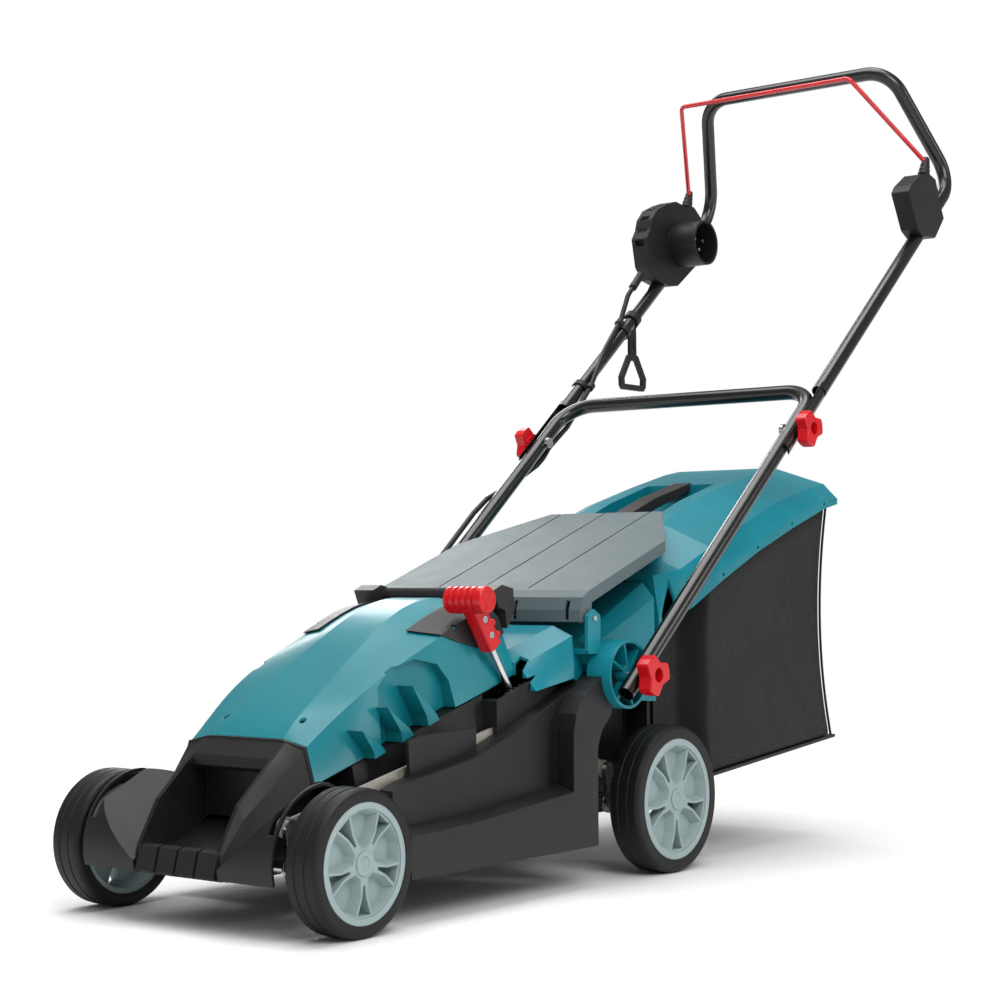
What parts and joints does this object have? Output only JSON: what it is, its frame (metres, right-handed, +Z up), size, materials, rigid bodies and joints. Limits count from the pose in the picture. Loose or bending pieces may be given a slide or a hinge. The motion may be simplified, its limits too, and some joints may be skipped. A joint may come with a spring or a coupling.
{
  "type": "corded electric lawn mower",
  "caption": "Walk-behind corded rotary lawn mower with a folding tubular handle, red dead-man bail, height lever and a rear fabric grass box under a hinged flap",
  "frame": {"origin": "On the ground under the centre of the whole machine with the height lever in its second notch", "axes": "+Z up, front of the machine towards -Y, handle towards +Y, the side with the height lever towards +X"},
  "size_m": [0.45, 1.3003, 1.0565],
  "materials": {
    "teal": "satin teal moulded plastic",
    "black_plastic": "fine-grained black moulded plastic",
    "charcoal_plastic": "charcoal soft-touch plastic",
    "brown_grip": "dark brown-black ribbed grip",
    "flap_grey": "grey-green moulded plastic",
    "rim_grey": "light grey-green moulded plastic",
    "tyre_black": "hard black tyre plastic",
    "red_plastic": "glossy red plastic",
    "red_coat": "red plastic-coated steel rod",
    "tube_black": "gloss black powder-coated steel tube",
    "steel": "zinc-plated steel",
    "blade_steel": "black-coated hardened steel",
    "aluminium": "cast aluminium",
    "laminate": "steel laminations with end windings",
    "brass": "nickel-plated brass pins",
    "rubber": "black rubber cable sheath",
    "fabric": "black woven polyester"
  },
  "bodies": {
    "deck": {"deck_shell": "black_plastic", "front_nose": "black_plastic", "lever_guide": "black_plastic", "motor_hood": "teal", "hood_screws": "blade_steel", "carry_handle": "charcoal_plastic", "rear_shroud": "teal", "discharge_chute": "black_plastic", "flap_hinge_pin": "steel", "handle_brackets": "teal", "lower_handle_bolts": "steel", "cable_entry": "rubber", "motor_stator": "laminate", "motor_lower_shield": "aluminium", "motor_upper_shield": "aluminium", "motor_bearings": "steel"},
    "rotor": {"motor_shaft": "steel", "rotor_core": "laminate", "cooling_fan": "black_plastic", "blade_carrier": "aluminium", "cutting_blade": "blade_steel", "blade_bolt": "steel"},
    "front_axle": {"front_crank_axle": "steel", "front_axle_washers": "steel"},
    "rear_axle": {"rear_crank_axle": "steel", "rear_axle_washers": "steel"},
    "lever": {"height_lever_rod": "steel", "height_lever_grip": "red_plastic", "height_lever_screws": "steel"},
    "front_bar": {"front_link": "steel"},
    "rear_bar": {"rear_link": "steel"},
    "lower_frame": {"lower_handle": "tube_black", "upper_handle_bolts": "steel", "cable_lower": "rubber"},
    "upper_frame": {"upper_handle": "tube_black", "switch_box": "black_plastic", "inlet_pins": "brass", "bail_housing": "black_plastic", "cable_clips": "black_plastic", "cable_upper": "rubber"},
    "bail": {"bail_rod": "red_coat"},
    "button": {"lock_button": "red_plastic"},
    "hook": {"cable_hook": "black_plastic"},
    "flap": {"discharge_flap": "flap_grey"},
    "grass_box": {"box_lid": "teal", "box_grip": "brown_grip", "grass_bag": "fabric", "box_frame": "black_plastic"},
    "front_left_wheel": {"front_left_rim": "rim_grey", "front_left_tyre": "tyre_black"},
    "front_right_wheel": {"front_right_rim": "rim_grey", "front_right_tyre": "tyre_black"},
    "rear_left_wheel": {"rear_left_rim": "rim_grey", "rear_left_tyre": "tyre_black"},
    "rear_right_wheel": {"rear_right_rim": "rim_grey", "rear_right_tyre": "tyre_black"},
    "lower_left_knob_body": {"lower_left_knob": "red_plastic"},
    "lower_right_knob_body": {"lower_right_knob": "red_plastic"},
    "upper_left_knob_body": {"upper_left_knob": "red_plastic"},
    "upper_right_knob_body": {"upper_right_knob": "red_plastic"}
  },
  "joints": [
    {"name": "height_lever", "type": "hinge", "parent": "deck", "child": "lever", "pos_m": [0.116, -0.2281, 0.15], "axis": [1, 0, 0], "range_deg": [-19.5, 6.5]},
    {"name": "front_axle_turn", "type": "hinge", "parent": "deck", "child": "front_axle", "pos_m": [0, -0.6181, 0.066], "axis": [1, 0, 0], "range_deg": [-19.5, 6.5]},
    {"name": "rear_axle_turn", "type": "hinge", "parent": "deck", "child": "rear_axle", "pos_m": [0, -0.0841, 0.0795], "axis": [1, 0, 0], "range_deg": [-19.5, 6.5]},
    {"name": "front_link_pivot", "type": "hinge", "parent": "lever", "child": "front_bar", "pos_m": [0.1225, -0.2341, 0.188], "axis": [1, 0, 0], "range_deg": [-6.5, 19.5]},
    {"name": "rear_link_pivot", "type": "hinge", "parent": "lever", "child": "rear_bar", "pos_m": [0.109, -0.2341, 0.188], "axis": [1, 0, 0], "range_deg": [-6.5, 19.5]},
    {"name": "motor_spin", "type": "hinge", "parent": "deck", "child": "rotor", "pos_m": [0, -0.3561, 0.1], "axis": [0, 0, 1], "continuous": true},
    {"name": "lower_handle_fold", "type": "hinge", "parent": "deck", "child": "lower_frame", "pos_m": [0, -0.1431, 0.229], "axis": [1, 0, 0], "range_deg": [0, 130]},
    {"name": "upper_handle_fold", "type": "hinge", "parent": "lower_frame", "child": "upper_frame", "pos_m": [0, 0.2029, 0.5188], "axis": [1, 0, 0], "range_deg": [-75, 0]},
    {"name": "bail_squeeze", "type": "hinge", "parent": "upper_frame", "child": "bail", "pos_m": [0, 0.5699, 0.882], "axis": [-1, 0, 0], "range_deg": [0, 25], "stiffness_Nm_per_rad": 2, "springref_deg": -22.92},
    {"name": "lock_button_press", "type": "slide", "parent": "upper_frame", "child": "button", "axis": [1, 0, 0], "range_m": [0, 0.003], "stiffness_N_per_m": 400, "springref_m": -0.001},
    {"name": "cable_hook_swing", "type": "hinge", "parent": "upper_frame", "child": "hook", "pos_m": [-0.199, 0.4322, 0.7108], "axis": [0, 0.7666, 0.6421], "range_deg": [-8, 30]},
    {"name": "flap_open", "type": "hinge", "parent": "deck", "child": "flap", "pos_m": [0, -0.1801, 0.291], "axis": [1, 0, 0], "range_deg": [0, 60]},
    {"name": "grass_box_slide", "type": "slide", "parent": "deck", "child": "grass_box", "axis": [0, 1, 0], "range_m": [0, 0.26]},
    {"name": "front_left_wheel_spin", "type": "hinge", "parent": "front_axle", "child": "front_left_wheel", "pos_m": [0.16, -0.5781, 0.07], "axis": [1, 0, 0], "continuous": true},
    {"name": "front_right_wheel_spin", "type": "hinge", "parent": "front_axle", "child": "front_right_wheel", "pos_m": [-0.16, -0.5781, 0.07], "axis": [1, 0, 0], "continuous": true},
    {"name": "rear_left_wheel_spin", "type": "hinge", "parent": "rear_axle", "child": "rear_left_wheel", "pos_m": [0.16, -0.0441, 0.0835], "axis": [1, 0, 0], "continuous": true},
    {"name": "rear_right_wheel_spin", "type": "hinge", "parent": "rear_axle", "child": "rear_right_wheel", "pos_m": [-0.16, -0.0441, 0.0835], "axis": [1, 0, 0], "continuous": true},
    {"name": "lower_left_knob_turn", "type": "hinge", "parent": "deck", "child": "lower_left_knob_body", "pos_m": [0.212, -0.1431, 0.229], "axis": [1, 0, 0], "continuous": true},
    {"name": "lower_right_knob_turn", "type": "hinge", "parent": "deck", "child": "lower_right_knob_body", "pos_m": [-0.212, -0.1431, 0.229], "axis": [1, 0, 0], "continuous": true},
    {"name": "upper_left_knob_turn", "type": "hinge", "parent": "lower_frame", "child": "upper_left_knob_body", "pos_m": [0.216, 0.2029, 0.5188], "axis": [1, 0, 0], "continuous": true},
    {"name": "upper_right_knob_turn", "type": "hinge", "parent": "lower_frame", "child": "upper_right_knob_body", "pos_m": [-0.216, 0.2029, 0.5188], "axis": [1, 0, 0], "continuous": true}
  ],
  "couplings": [
    {"joint": "front_axle_turn", "follows": "height_lever", "ratio": 1},
    {"joint": "rear_axle_turn", "follows": "height_lever", "ratio": 1},
    {"joint": "front_link_pivot", "follows": "height_lever", "ratio": -1},
    {"joint": "rear_link_pivot", "follows": "height_lever", "ratio": -1}
  ]
}
